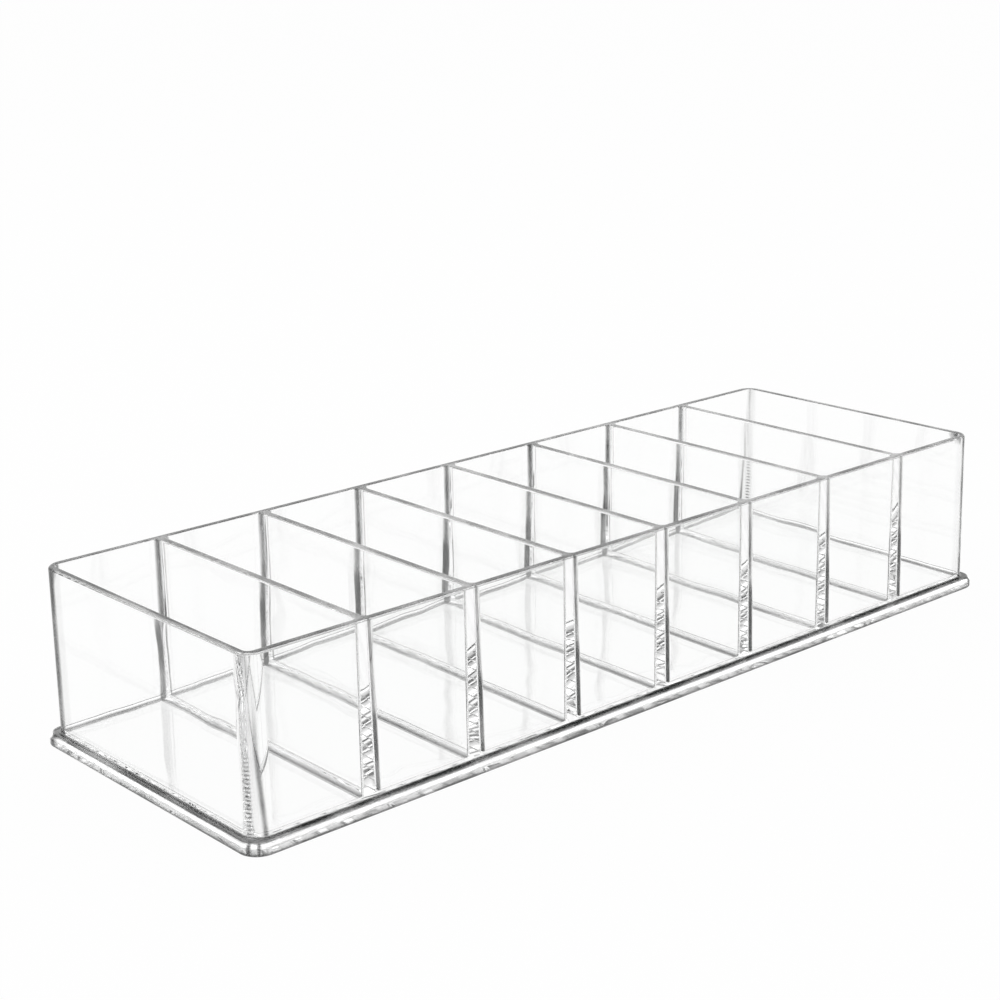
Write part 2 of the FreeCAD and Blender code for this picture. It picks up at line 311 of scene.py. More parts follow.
def stage_look():
    return bpy.context.scene.organizer_stage


# --- Outlines: closed lists of (x, y, how the line goes on to the next point) ---


def quarter(centre, radius, start, turn, steps):
    """Points of a quarter circle; turn is 1 for left and -1 for right."""
    points = []
    for step in range(steps + 1):
        angle = start + turn * QUARTER * step / steps
        kind = ROUND if step < steps else STRAIGHT
        points.append((centre[0] + radius * math.cos(angle),
                       centre[1] + radius * math.sin(angle), kind))
    return points


def half_turned(points):
    return [(-x, -y, kind) for x, y, kind in points]


def with_half_turn(points):
    """Close an outline that looks the same after half a turn."""
    return points + half_turned(points)


def end_corners(half_length, half_width, radius):
    """The two rounded corners at the right end of an outline."""
    steps = tray().corner_steps
    x, y = half_length - radius, half_width - radius
    return quarter((x, -y), radius, -QUARTER, 1, steps) + quarter((x, y), radius, 0, 1, steps)


def rounded_rectangle(half_length, half_width, radius):
    """An outside outline, with two points more on the end sides past each corner.

    These shoulders are where a corner's painted shade line fades out.
    """
    y, shoulder = half_width - radius, tray().line_shoulder
    past = [(half_length, place, STRAIGHT)
            for place in (shoulder - y, 2 * shoulder - y, y - 2 * shoulder, y - shoulder)]
    corners = end_corners(half_length, half_width, radius)
    middle = len(corners) // 2
    return with_half_turn(corners[:middle] + past + corners[middle:])


def inner_half_width():
    return BASE_BOX[1].y - tray().flange_reach - tray().outer_lean - tray().rim_thickness


def inner_half_length():
    return BASE_BOX[1].x - tray().flange_reach - tray().outer_lean - tray().rim_thickness


def divider_x(name):
    low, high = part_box(name)
    return (low.x + high.x) / 2


def root_half():
    """Half the length and half the width of a divider's root."""
    low, high = DIVIDER_BOX
    return (high.y - low.y) / 2, (high.x - low.x) / 2


def flange_outline(inset):
    return rounded_rectangle(BASE_BOX[1].x - inset, BASE_BOX[1].y - inset,
                             tray().flange_corner - inset)


def wall_outline(level, inset=0.0):
    """Outside of the walls at a level, leaning in towards the rim."""
    sizes = tray()
    foot, rim = BASE_BOX[1].z, WALL_BOX[1].z
    inset += sizes.outer_lean * max(level - foot, 0) / (rim - foot)
    foot_inset = sizes.flange_reach + inset
    return rounded_rectangle(BASE_BOX[1].x - foot_inset, BASE_BOX[1].y - foot_inset,
                             sizes.outer_corner - inset)


def inside_outline(spread):
    """Inside of the wall frame, with a notch for each divider's root. spread narrows it."""
    root_y, root_x = root_half()
    wall_y = inner_half_width() - spread
    points = []
    for name in DIVIDERS:
        x = divider_x(name)
        points += [(x - root_x, -wall_y, JOINT), (x - root_x, -root_y, JOINT),
                   (x + root_x, -root_y, JOINT), (x + root_x, -wall_y, STRAIGHT)]
    return with_half_turn(points + end_corners(inner_half_length() - spread, wall_y,
                                               tray().inner_corner - spread))


def divider_outline(level, spread):
    """A divider's slice, centred on x = 0: web, flared ends, and roots let into the walls."""
    sizes = tray()
    root_y, root_x = root_half()
    wall_y = inner_half_width() - spread
    floor, rim = BASE_BOX[1].z, WALL_BOX[1].z
    share = (level - floor) / (rim - floor)
    half = (sizes.divider_foot * (1 - share) + sizes.divider_rim * share) / 2
    radius = sizes.end_flare - spread
    flare_x = half + sizes.end_flare
    right = [(root_x, -root_y, JOINT), (root_x, -wall_y, STRAIGHT)]
    right += quarter((flare_x, radius - wall_y), radius, -QUARTER, -1, sizes.corner_steps // 2)
    right += quarter((flare_x, wall_y - radius), radius, math.pi, -1, sizes.corner_steps // 2)
    right += [(root_x, wall_y, JOINT), (root_x, root_y, JOINT)]
    return with_half_turn(right)


def island_outline(left, right):
    """The floor of one compartment, between two roots or a root and an end wall."""
    root_x, spread = root_half()[1], tray().foot_flare
    wall_y = inner_half_width() - spread
    corners = end_corners(inner_half_length() - spread, wall_y, tray().inner_corner - spread)
    right_end = corners if right is None else [(right - root_x, -wall_y, STRAIGHT),
                                               (right - root_x, wall_y, STRAIGHT)]
    left_end = half_turned(corners) if left is None else [(left + root_x, wall_y, STRAIGHT),
                                                          (left + root_x, -wall_y, STRAIGHT)]
    return right_end + left_end


def rim_levels():
    """(height, how far the edge has drawn back, how the face goes on up) up the rim's round."""
    sizes = tray()
    top = WALL_BOX[1].z
    levels = []
    for step in range(sizes.edge_steps + 1):
        angle = QUARTER * step / sizes.edge_steps
        levels.append((top - sizes.rim_round * (1 - math.sin(angle)),
                       sizes.rim_round * (1 - math.cos(angle)), ROUND))
    return levels


def foot_levels(radius):
    """(height, how far the hollow stands out, how the face goes on up) up a foot flare."""
    steps = tray().edge_steps
    floor = BASE_BOX[1].z
    levels = []
    for step in range(steps + 1):
        angle = QUARTER * step / steps
        levels.append((floor + radius * (1 - math.cos(angle)),
                       radius * (1 - math.sin(angle)), ROUND))
    levels[-1] = (*levels[-1][:2], STRAIGHT)
    return levels


# --- Painted shade: how dark a point on a rounded edge is painted ---


def between(steps, *stops):
    """Painted shade of the rings across a round.

    They go straight from each (share of the way, painted shade) to the next.
    """
    tones = []
    for share in (step / steps for step in range(steps + 1)):
        (start, first), (end, last) = next(
            pair for pair in zip(stops, stops[1:]) if share <= pair[1][0])
        tones.append(first + (last - first) * (share - start) / (end - start))
    return tones


def hump(share, centre, reach):
    """1 at the centre, falling to 0 at reach from it."""
    return math.cos(QUARTER * min(abs(share - centre) / reach, 1)) ** 2


def crown(steps, foot, flat):
    """Painted shade of the rings up a rim's round: a faint painted line at its foot, and the
    flat's own on top.
    """
    return between(steps, (0, 0), (RIM_LINE, foot), (RIM_LINE_END, 0), (1, flat))


def foot_line(steps):
    """Painted shade of the rings up a hollow round inside: one narrow painted line nearer the
    floor.
    """
    return between(steps, (0, 0), (INNER_LINE, painted_edge_shades().inner_foot), (INNER_LINE_END, 0),
                   (1, 0))


def corner_lines(height, rung=0.0):
    """Painted shade: upright dark lines on the outside corners, at a share of the walls' height.

    The front left and back right corners have a line that leans across the round on its way up,
    and a ladder of short rungs towards the end wall. The front right one has a line towards the
    long side, and the back left one a broad line on the side of the end wall.
    """
    tones = painted_edge_shades()
    strength = max(1 - LINE_FADE * height, LEAST_LINE)

    def line(share, corner):
        if corner.x * corner.y > 0:
            place, reach = LEANING_LINE
            leaning = hump(share, place + LEAN * height, reach)
            return max(strength * tones.corner_long_side * leaning,
                       rung * tones.corner_ladder * hump(share, *LADDER),
                       tones.corner_end * hump(share, *END_LINE))
        if corner.y < 0:
            steady = max(strength, LEAST_STEADY_LINE)
            return max(steady * tones.corner_long_side * hump(share, *LONG_SIDE_LINE),
                       tones.corner_end * hump(share, *END_LINE))
        if share > 1:
            return 0
        return tones.corner_side * min(max(share - BROAD_LINE_FROM, 0) / BROAD_LINE_RISE, 1)

    return line


def flange_marks(strength):
    """Short painted dark marks where the flange turns its corners: narrow on two, broad on the
    others.
    """
    def marks(share, corner):
        places = NARROW_MARKS if corner.x * corner.y > 0 else BROAD_MARKS
        return strength * max(hump(share, *place) for place in places)

    return marks


def rim_marks():
    """The painted corner lines' upper ends, and a painted dark spot on two of the rim's corners.
    """
    lines, marks = corner_lines(1), flange_marks(painted_edge_shades().rim_corner)
    return lambda share, corner: max(
        lines(share, corner), marks(share, corner) if corner.x * corner.y < 0 else 0)


def soft_line(strength, reach=1):
    """One upright painted shade line in the middle of an arc. A longer reach makes it broader."""
    return lambda share, corner: strength * min(reach * hump(share, 0.5, 0.5), 1)


def arc_runs(kinds):
    """(first, last) index of each arc in an outline."""
    runs, first = [], None
    for index, kind in enumerate(kinds):
        if kind == ROUND and first is None:
            first = index
        elif kind != ROUND and first is not None:
            runs.append((first, index))
            first = None
    return runs


# --- Building one closed piece ---


class Shell:
    """One closed piece, built from rings of points at set levels."""

    def __init__(self):
        self.mesh = bmesh.new()
        self.rank = self.mesh.faces.layers.int.new("rank")
        # Painted shade: how dark each point is painted, for the dark lines on the rounded edges.
        self.tone = self.mesh.verts.layers.float.new("tone")
        # Painted glow: emission strength at each point, used on the flange's edge only.
        self.glow = self.mesh.verts.layers.float.new("glow")

    def ring(self, outline, level, tone=0.0, arc_painted_shade=None, glow=0.0, end_share=1.0):
        """Points of an outline at a level.

        The function for arcs gives the painted shade at a share of the way along an arc, from its
        end nearer a long side; shares above 1 are the shoulder's points. end_share is the part of
        the painted shade that is left along the end walls.
        """
        points = [self.mesh.verts.new((x, y, level)) for x, y, _ in outline]
        kinds = [kind for _, _, kind in outline]
        has_shoulder = len(kinds) == 4 * (tray().corner_steps + 1) + SHOULDER_POINTS
        for point in points:
            point[self.tone], point[self.glow] = tone * end_share, glow
        for first, last in arc_runs(kinds) if arc_painted_shade else ():
            start, way = first, 1
            if abs(outline[first][1]) < abs(outline[last][1]):
                start, way = last, -1
            count = last - first
            shares = [step / count for step in range(count + 1)]
            shares += [1 + SHOULDER_SHARE, 1 + 2 * SHOULDER_SHARE] if has_shoulder else []
            for step, share in enumerate(shares):
                point = points[(start + way * step) % len(points)]
                line = arc_painted_shade(share, point.co)
                left = 1 - min(share, 1) * (1 - end_share)
                point[self.tone] = max(tone * left, line)
                point[self.glow] = glow * (1 - line)
        return points, kinds

    def face(self, points, rank, bonded):
        made = self.mesh.faces.new(points)
        made[self.rank] = rank
        made.material_index = int(bonded)
        made.smooth = True

    def strip(self, lower, upper, rising, bonded=False):
        """Join two rings. rising says whether the piece's side goes up straight or round."""
        (low, kinds), (high, _) = lower, upper
        for index, kind in enumerate(kinds):
            after = (index + 1) % len(low)
            rank = (kind != ROUND) + (rising != ROUND)
            self.face((low[index], low[after], high[after], high[index]), rank,
                      bonded or kind == JOINT)

    def stack(self, rings, risings):
        for lower, upper, rising in zip(rings, rings[1:], risings):
            self.strip(lower, upper, rising)

    def lid(self, ring, bonded=False):
        """Close a ring with one flat face."""
        self.face(ring[0], 2, bonded)

    def plate(self, rings, bonded=False):
        """Fill between an outer ring and the rings of its holes."""
        loops = [ring[0] for ring in rings]
        corners = [corner for loop in loops for corner in loop]
        for triangle in tessellate_polygon([[v.co for v in loop] for loop in loops]):
            self.face([corners[index] for index in triangle], 2, bonded)

    def finish(self, name, node, x=0.0):
        """Make the piece, stand it for its CAD node, and give it its finish."""
        bmesh.ops.recalc_face_normals(self.mesh, faces=self.mesh.faces)
        open_edges = [edge for edge in self.mesh.edges if len(edge.link_faces) != 2]
        if open_edges:
            raise RuntimeError(f"{name} is not closed: {len(open_edges)} loose edges")
        bmesh.ops.translate(self.mesh, verts=self.mesh.verts, vec=(x, 0, 0))
        normals = corner_normals(self.mesh, self.rank)
        data = bpy.data.meshes.new(name)
        self.mesh.to_mesh(data)
        self.mesh.free()
        data.normals_split_custom_set(normals)
        data.materials.append(clear_plastic())
        data.materials.append(bonded_joint())
        piece = bpy.data.objects.new(name, data)
        bpy.context.scene.collection.objects.link(piece)
        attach(piece, BODY)
        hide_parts(node)


def corner_normals(mesh, rank):
    """Where faces meet smoothly, their corners take the normal of the straightest of them.

    So flats stay optically flat up to the line where a round begins.
    """
    mesh.normal_update()
    normals = []
    for face in mesh.faces:
        for corner in face.loops:
            group = smooth_group(face, corner.vert)
            straightest = max(other[rank] for other in group)
            total = sum((other.normal for other in group if other[rank] == straightest), Vector())
            normals.append(total.normalized())
    return normals


def smooth_group(face, point):
    """The faces round a point that join the given one without a crease."""
    group, waiting = {face}, [face]
    while waiting:
        for edge in waiting.pop().edges:
            if point not in edge.verts or edge.calc_face_angle(math.pi) > SMOOTH_BELOW:
                continue
            for other in edge.link_faces:
                if other not in group and other.material_index == face.material_index:
                    group.add(other)
                    waiting.append(other)
    return group


# --- Materials ---


def node_group(name, inputs, outputs):
    """An empty shader node group with float or vector or colour sockets."""
    group = bpy.data.node_groups.new(name, "ShaderNodeTree")
    for socket, kind, value in inputs:
        made = group.interface.new_socket(socket, in_out="INPUT", socket_type=kind)
        made.default_value = value
    for socket, kind in outputs:
        group.interface.new_socket(socket, in_out="OUTPUT", socket_type=kind)
    return group, group.nodes.new("NodeGroupInput"), group.nodes.new("NodeGroupOutput")


def painted_edge_shade():
    """Colour of the plastic: its tint on flats, and uneven painted shade on the rounded edges."""
    if "painted_edge_shade" in bpy.data.node_groups:
        return bpy.data.node_groups["painted_edge_shade"]
    group, entry, result = node_group(
        "painted_edge_shade",
        [("Tint", "NodeSocketColor", (1, 1, 1, 1)),
         ("Painted Shade Colour", "NodeSocketColor", (0, 0, 0, 1)),
         ("Painted Shade", "NodeSocketFloat", 0.0), ("Unevenness", "NodeSocketFloat", UNEVENNESS)],
        [("Color", "NodeSocketColor")])
    nodes, links = group.nodes, group.links
    place = nodes.new("ShaderNodeTexCoord")
    noise = nodes.new("ShaderNodeTexNoise")
    noise.inputs["Scale"].default_value = PATCHES
    noise.inputs["Detail"].default_value = PATCH_DETAIL
    links.new(place.outputs["Object"], noise.inputs["Vector"])
    spread = nodes.new("ShaderNodeMapRange")
    spread.inputs["From Min"].default_value = NOISE_LOW
    spread.inputs["From Max"].default_value = NOISE_HIGH
    links.new(noise.outputs["Fac"], spread.inputs["Value"])
    least = nodes.new("ShaderNodeMath")
    least.operation = "SUBTRACT"
    links.new(entry.outputs["Unevenness"], least.inputs[0])
    least.inputs[1].default_value = 1
    links.new(least.outputs[0], spread.inputs["To Min"])
    spread.inputs["To Max"].default_value = -1
    lightness = nodes.new("ShaderNodeMath")
    lightness.operation = "MULTIPLY_ADD"
    lightness.use_clamp = True
    links.new(entry.outputs["Painted Shade"], lightness.inputs[0])
    links.new(spread.outputs["Result"], lightness.inputs[1])
    lightness.inputs[2].default_value = 1
    # A surface passes the root of its colour, and a line's painted shade is how dark it looks on
    # screen.
    passed = nodes.new("ShaderNodeMath")
    passed.operation = "POWER"
    links.new(lightness.outputs[0], passed.inputs[0])
    passed.inputs[1].default_value = PAINTED_SHADE_POWER
    blend = nodes.new("ShaderNodeMix")
    blend.data_type = "RGBA"
    links.new(passed.outputs[0], blend.inputs["Factor"])
    links.new(entry.outputs["Painted Shade Colour"], blend.inputs["A"])
    links.new(entry.outputs["Tint"], blend.inputs["B"])
    links.new(blend.outputs["Result"], result.inputs["Color"])
    return group


def flow_waves():
    """Height of the low, long waves that the mould's flow leaves on a clear face."""
    if "flow_waves" in bpy.data.node_groups:
        return bpy.data.node_groups["flow_waves"]
    group, entry, result = node_group(
        "flow_waves",
        [("Waves per Metre", "NodeSocketFloat", WAVES_PER_METRE),
         ("Detail", "NodeSocketFloat", WAVE_DETAIL)],
        [("Height", "NodeSocketFloat")])
    nodes, links = group.nodes, group.links
    place = nodes.new("ShaderNodeTexCoord")
    noise = nodes.new("ShaderNodeTexNoise")
    links.new(place.outputs["Object"], noise.inputs["Vector"])
    links.new(entry.outputs["Waves per Metre"], noise.inputs["Scale"])
    links.new(entry.outputs["Detail"], noise.inputs["Detail"])
    links.new(noise.outputs["Fac"], result.inputs["Height"])
    return group


def clear_plastic():
    """Clear moulded plastic with faint flow waves, a hazy edge, painted shade and a painted glow.

    A lamp's light goes straight through it to the floor.
    """
    if "clear_moulding" in bpy.data.materials:
        return bpy.data.materials["clear_moulding"]
    look = plastic_finish_and_painted_light()
    material = bpy.data.materials.new("clear_moulding")
    material.use_nodes = True
    nodes, links = material.node_tree.nodes, material.node_tree.links
    plastic = nodes["Principled BSDF"]
    # Painted shade: the painted darkness of each point turns the base colour dark on the rounded
    # edges.
    tone = nodes.new("ShaderNodeAttribute")
    tone.attribute_name = "tone"
    painted_shade_colour = nodes.new("ShaderNodeGroup")
    painted_shade_colour.node_tree = painted_edge_shade()
    painted_shade_colour.inputs["Tint"].default_value = (*look.tint, 1)
    painted_shade_colour.inputs["Painted Shade Colour"].default_value = (*look.painted_shade_colour, 1)
    links.new(tone.outputs["Fac"], painted_shade_colour.inputs["Painted Shade"])
    links.new(painted_shade_colour.outputs["Color"], plastic.inputs["Base Color"])
    # Painted glow: emission from the glow attribute, a painted highlight on the flange's edge; it
    # also sets the edge's haze.
    edge = nodes.new("ShaderNodeAttribute")
    edge.attribute_name = "glow"
    links.new(edge.outputs["Fac"], plastic.inputs["Emission Color"])
    plastic.inputs["Emission Strength"].default_value = look.painted_edge_glow
    haze = nodes.new("ShaderNodeMath")
    haze.operation = "MULTIPLY"
    haze.inputs[1].default_value = look.edge_haze
    links.new(edge.outputs["Fac"], haze.inputs[0])
    links.new(haze.outputs[0], plastic.inputs["Roughness"])
    waves = nodes.new("ShaderNodeGroup")
    waves.node_tree = flow_waves()
    bump = nodes.new("ShaderNodeBump")
    bump.inputs["Distance"].default_value = look.wave_height
    links.new(waves.outputs["Height"], bump.inputs["Height"])
    links.new(bump.outputs["Normal"], plastic.inputs["Normal"])
    plastic.inputs["IOR"].default_value = look.index
    plastic.inputs["Transmission Weight"].default_value = 1
    path = nodes.new("ShaderNodeLightPath")
    through = nodes.new("ShaderNodeBsdfTransparent")
    through.inputs["Color"].default_value = (*look.shadow, 1)
    mix = nodes.new("ShaderNodeMixShader")
    links.new(path.outputs["Is Shadow Ray"], mix.inputs["Fac"])
    links.new(plastic.outputs[0], mix.inputs[1])
    links.new(through.outputs[0], mix.inputs[2])
    links.new(mix.outputs[0], nodes["Material Output"].inputs["Surface"])
    return material


def bonded_joint():
    """A face where two pieces are bonded, which light passes as if it were not there."""
    if "bonded_joint" in bpy.data.materials:
        return bpy.data.materials["bonded_joint"]
    material = bpy.data.materials.new("bonded_joint")
    material.use_nodes = True
    nodes, links = material.node_tree.nodes, material.node_tree.links
    nodes.remove(nodes["Principled BSDF"])
    through = nodes.new("ShaderNodeBsdfTransparent")
    links.new(through.outputs[0], nodes["Material Output"].inputs["Surface"])
    return material


# --- Operators ---


class ORGANIZER_OT_base_tray(Operator):
    """Build the base tray: flange, grooves, and the floors of the eight compartments"""

    bl_idname = "organizer.base_tray"
    bl_label = "Base Tray"

    def execute(self, context):
        sizes = tray()
        floor, seat = BASE_BOX[1].z, WALL_BOX[0].z
        shell = Shell()
        rings = []
        steps = 2 * sizes.edge_steps
        # Painted shade on the flange's rounds and corners, and a painted glow on its top round and
        # side.
        tones, painted_side_glow = painted_edge_shades(), plastic_finish_and_painted_light().painted_side_glow
        lower_painted_shades = between(steps, (0, 0), (UNDERSIDE_FULL, tones.flange_underside),
                              (1, tones.flange_underside))
        upper_painted_shades = between(steps, (0, tones.flange_side / 2), (SIDE_CLEAR, 0),
                              (FLAT_BEGINS, 0), (1, tones.flange_flat))
        for step, tone in enumerate(lower_painted_shades):
            angle = QUARTER * step / steps
            reach = sizes.flange_underside_round
            rings.append(shell.ring(flange_outline(reach * (1 - math.sin(angle))),
                                    reach * (1 - math.cos(angle)), tone,
                                    flange_marks(tones.flange_marks if step else 0),
                                    glow=painted_side_glow * step / steps))
        fade = sizes.flange_underside_round + sizes.underside_fade
        rings.append(shell.ring(flange_outline(0), fade, tones.flange_side,
                                flange_marks(tones.flange_marks), glow=painted_side_glow))
        for step, tone in enumerate(upper_painted_shades):
            angle = QUARTER * step / steps
            reach = sizes.flange_top_round
            rings.append(shell.ring(flange_outline(reach * (1 - math.cos(angle))),
                                    floor - reach * (1 - math.sin(angle)), tone,
                                    flange_marks(tones.flange_marks),
                                    glow=max(hump(step / steps, PAINTED_GLOW_CENTRE, PAINTED_GLOW_REACH),
                                             painted_side_glow * (1 - step / steps))))
        risings = [ROUND] * steps + [STRAIGHT] * 2 + [ROUND] * steps
        shell.stack(rings, risings)
        shell.lid(rings[0])
        # soft_line(0) paints no line; with it, the painted shade pales round the corners.
        groove_top = shell.ring(wall_outline(floor, -sizes.outer_foot_flare), floor,
                                tones.outer_foot, soft_line(0), end_share=tones.outer_foot_end)
        groove_foot = shell.ring(wall_outline(seat, -sizes.outer_foot_flare), seat)
        shell.plate([rings[-1], groove_top])
        shell.strip(groove_foot, groove_top, STRAIGHT, bonded=True)
        holes = []
        edges = [None, *(divider_x(name) for name in DIVIDERS), None]
        for left, right in zip(edges, edges[1:]):
            outline = island_outline(left, right)
            foot, top = shell.ring(outline, seat), shell.ring(outline, floor)
            shell.strip(foot, top, STRAIGHT, bonded=True)
            shell.lid(top)
            holes.append(foot)
        shell.plate([groove_foot, *holes], bonded=True)
        shell.finish("base", "base_tray")
        return {"FINISHED"}


class ORGANIZER_OT_wall_frame(Operator):
    """Build the ring of outer walls, with its root, foot flare, notches and rounded rim"""

    bl_idname = "organizer.wall_frame"
    bl_label = "Wall Frame"

    def execute(self, context):
        sizes = tray()
        floor, seat = BASE_BOX[1].z, WALL_BOX[0].z
        shell = Shell()
        tones, steps = painted_edge_shades(), sizes.edge_steps
        foot, rim = foot_levels(sizes.outer_foot_flare), rim_levels()
        root = shell.ring(wall_outline(seat, -sizes.outer_foot_flare), seat)
        outside = [shell.ring(wall_outline(level, -spread), level, tone, corner_lines(0),
                              end_share=tones.outer_foot_end)
                   for (level, spread, _), tone in zip(foot, between(
                       steps, (0, tones.outer_foot), (OUTER_LINE_UNTIL, tones.outer_foot),
                       (1, 0)))]
        # The painted corner lines and the ladder's painted rungs are darkest near the foot.
        rise, start = WALL_BOX[1].z - floor, foot[-1][0]
        rungs = RINGS_PER_RUNG * round(LADDER_RISE * rise / sizes.rung_pitch)
        for index in range(1, rungs + 1):
            level = start + index * sizes.rung_pitch / RINGS_PER_RUNG
            depth = math.sqrt(1 - index / rungs) if index % RINGS_PER_RUNG == 1 else 0
            outside.append(shell.ring(wall_outline(level), level, 0,
                                      corner_lines((level - floor) / rise, depth)))
        # The rim's painted dark spots run out a little way down the corners.
        level = rim[0][0] - sizes.spot_fade
        outside.append(shell.ring(wall_outline(level), level, 0,
                                  corner_lines((level - floor) / rise)))
        outside += [shell.ring(wall_outline(level, inset), level, tone, rim_marks(),
                               end_share=tones.rim_end)
                    for (level, inset, _), tone in zip(rim, crown(steps, tones.rim_foot,
                                                                  tones.rim_flat_outside))]
        shell.strip(root, outside[0], STRAIGHT, bonded=True)
        shell.stack(outside, [kind for _, _, kind in foot] + [STRAIGHT] * (rungs + 1)
                    + [kind for _, _, kind in rim])

        foot = foot_levels(sizes.foot_flare)
        inner_root = shell.ring(inside_outline(sizes.foot_flare), seat)
        # Painted shade: a faint painted line in the inner corners of the wall frame.
        corner = soft_line(tones.inner_corner)
        inside = [shell.ring(inside_outline(spread), level, tone, corner)
                  for (level, spread, _), tone in zip(foot, foot_line(steps))]
        inside += [shell.ring(inside_outline(-spread), level, tone, corner)
                   for (level, spread, _), tone in zip(rim, crown(steps, 0, tones.rim_flat))]
        shell.strip(inner_root, inside[0], STRAIGHT, bonded=True)
        shell.stack(inside, [kind for _, _, kind in foot + rim])
        shell.plate([root, inner_root], bonded=True)
        shell.plate([outside[-1], inside[-1]])
        shell.finish("walls", "wall_frame")
        return {"FINISHED"}


class ORGANIZER_OT_dividers(Operator):
    """Build the seven dividers, each let into the base tray and the walls by its root"""

    bl_idname = "organizer.dividers"
    bl_label = "Dividers"

    def execute(self, context):
        for name in DIVIDERS:
            self.build(name)
        return {"FINISHED"}

    @staticmethod
    def build(name):
        sizes = tray()
        floor, seat = BASE_BOX[1].z, WALL_BOX[0].z
        root_y, root_x = root_half()
        wall_y = inner_half_width() - sizes.foot_flare
        block = with_half_turn([(root_x, -root_y, JOINT), (root_x, -wall_y, JOINT),
                                (root_x, wall_y, JOINT), (root_x, root_y, JOINT)])
        shell = Shell()
        bottom = shell.ring(block, seat)
        foot, rim = foot_levels(sizes.foot_flare), rim_levels()
        tones, steps = painted_edge_shades(), sizes.edge_steps
        flare_painted_shade, deep_flare_painted_shade = soft_line(tones.end_flare), soft_line(tones.end_flare_foot, DEEP_REACH)
        rings = [shell.ring(divider_outline(level, spread), level, tone, deep_flare_painted_shade)
                 for (level, spread, _), tone in zip(foot, foot_line(steps))]
        # The painted shade lines along the flares are darkest in the lower half of the divider.
        for share, lines in ((DEEP_UNTIL, deep_flare_painted_shade), (PALE_FROM, flare_painted_shade)):
            level = floor + share * (WALL_BOX[1].z - floor)
            rings.append(shell.ring(divider_outline(level, 0), level, 0, lines))
        rings += [shell.ring(divider_outline(level, -spread), level, tone, flare_painted_shade)
                  for (level, spread, _), tone in zip(rim, crown(steps, 0, tones.divider_flat))]
        shell.stack(rings, [kind for _, _, kind in foot] + [STRAIGHT] * 2
                    + [kind for _, _, kind in rim])
        shell.lid(rings[-1])
        shell.lid(bottom, bonded=True)
        # The root's block: its corners are the slice's own, less the points of the flares.
        points = rings[0][0]
        half = len(points) // 2
        corners = [points[index] for index in
                   (0, 1, half - 2, half - 1, half, half + 1, 2 * half - 2, 2 * half - 1)]
        shell.strip(bottom, (corners, None), STRAIGHT, bonded=True)
        for start in (0, half):
            shell.face(points[start + 1:start + half - 1], 2, False)
        shell.finish(name.replace("_", "-"), name, divider_x(name))


class ORGANIZER_OT_stage(Operator):
    """Set the pale floor, the studio light and the camera"""

    bl_idname = "organizer.stage"
    bl_label = "Stage"

    def execute(self, context):
        scene = context.scene
        scene.view_settings.view_transform = "Standard"
        scene.cycles.max_bounces = LIGHT_BOUNCES
        scene.cycles.transmission_bounces = LIGHT_BOUNCES
        scene.cycles.glossy_bounces = LIGHT_BOUNCES
        scene.cycles.transparent_max_bounces = LIGHT_BOUNCES
        scene.cycles.caustics_reflective = False
        scene.cycles.caustics_refractive = False
        pale_floor()
        studio_world()
        overhead_lamp()
        camera()
        return {"FINISHED"}


def seen_directly(nodes, links):
    """A socket, and the Light Path node that it comes from.

    The socket is 1 for rays from the camera, a mirror surface or through glass, and 0 for rays
    that light.
    """
    path = nodes.new("ShaderNodeLightPath")
    total = path.outputs["Is Camera Ray"]
    for name in ("Is Glossy Ray", "Is Transmission Ray"):
        either = nodes.new("ShaderNodeMath")
        either.operation = "MAXIMUM"
        links.new(total, either.inputs[0])
        links.new(path.outputs[name], either.inputs[1])
        total = either.outputs[0]
    return total, path


def pale_floor():
    look = stage_look()
    mesh = bmesh.new()
    bmesh.ops.create_circle(mesh, cap_ends=True, radius=FLOOR_RADIUS,
                            segments=FLOOR_FACETS)
    data = bpy.data.meshes.new("floor")
    mesh.to_mesh(data)
    mesh.free()
    floor = bpy.data.objects.new("floor", data)
    floor.location.z = -FLOOR_DROP
    bpy.context.scene.collection.objects.link(floor)
    material = bpy.data.materials.new("pale_floor")
    material.use_nodes = True
    nodes, links = material.node_tree.nodes, material.node_tree.links
    matt = nodes["Principled BSDF"]
    matt.inputs["Base Color"].default_value = FLOOR_GREY
    matt.inputs["Roughness"].default_value = 1
    matt.inputs["Specular IOR Level"].default_value = 0
    glow = nodes.new("ShaderNodeEmission")
    glow.inputs["Color"].default_value = (*look.pale, 1)
    seen, _ = seen_directly(nodes, links)
    share = nodes.new("ShaderNodeMath")
    share.operation = "MULTIPLY"
    share.inputs[1].default_value = FLOOR_WHITE
    links.new(seen, share.inputs[0])
    mix = nodes.new("ShaderNodeMixShader")
    links.new(share.outputs[0], mix.inputs["Fac"])
    links.new(matt.outputs[0], mix.inputs[1])
    links.new(glow.outputs[0], mix.inputs[2])
    links.new(mix.outputs[0], nodes["Material Output"].inputs["Surface"])
    data.materials.append(material)


